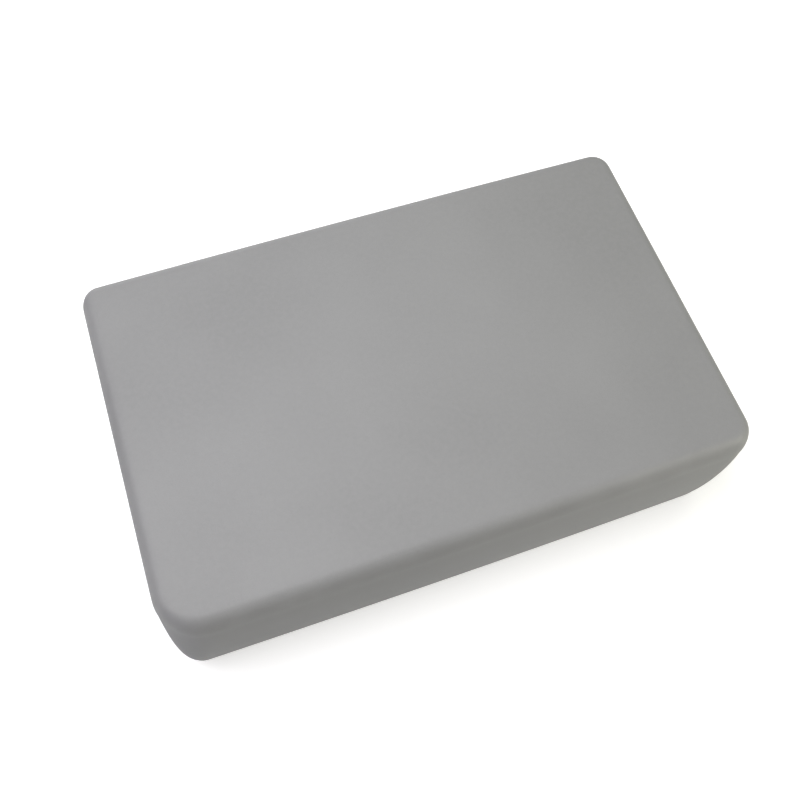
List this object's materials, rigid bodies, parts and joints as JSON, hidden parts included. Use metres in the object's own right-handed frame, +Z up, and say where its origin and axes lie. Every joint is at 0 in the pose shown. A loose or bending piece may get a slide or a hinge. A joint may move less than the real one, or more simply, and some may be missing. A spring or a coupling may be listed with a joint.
{
  "type": "bolster pillow",
  "caption": "Rectangular bolster pillow with rounded edges in a smooth grey coated-fabric cover, zipped along the back wall, over a layered foam filling.",
  "frame": {"origin": "middle of the underside, on the surface the pillow lies on", "axes": "+X along the length, +Y towards the back wall with the zip, +Z up"},
  "size_m": [0.45, 0.284, 0.13],
  "materials": {
    "cover_vinyl": "satin",
    "base_vinyl": "matte",
    "thread": "matte",
    "seam_tape": "matte",
    "zip_tape": "matte",
    "zip_nylon": "satin",
    "zip_metal": "satin",
    "flap_fabric": "matte",
    "label_satin": "satin",
    "liner_knit": "matte",
    "wadding": "matte",
    "soft_foam": "matte",
    "firm_foam": "matte"
  },
  "bodies": {
    "pillow": {"cover_shell": "cover_vinyl", "base_panel": "base_vinyl", "base_seam_threads": "thread", "base_seam_tape": "seam_tape", "zip_window_thread": "thread", "zip_bar_tacks": "thread", "zip_tape_upper": "zip_tape", "zip_tape_lower": "zip_tape", "zip_coil_upper": "zip_nylon", "zip_coil_lower": "zip_nylon", "zip_top_stops": "zip_metal", "zip_bottom_stop": "zip_metal", "zip_guard_flap": "flap_fabric", "care_label": "label_satin", "inner_liner": "liner_knit", "wadding_wrap": "wadding", "comfort_foam": "soft_foam", "core_foam": "firm_foam"},
    "slider": {"zip_slider": "zip_metal"},
    "pull": {"zip_pull_tab": "zip_metal"}
  },
  "joints": [
    {"name": "zip_run", "type": "slide", "parent": "pillow", "child": "slider", "axis": [-1, 0, 0], "range_m": [0, 0.329]},
    {"name": "pull_swing", "type": "hinge", "parent": "slider", "child": "pull", "pos_m": [0.165, 0.1398, 0.042], "axis": [0, 0, -1], "range_deg": [0, 180]}
  ]
}
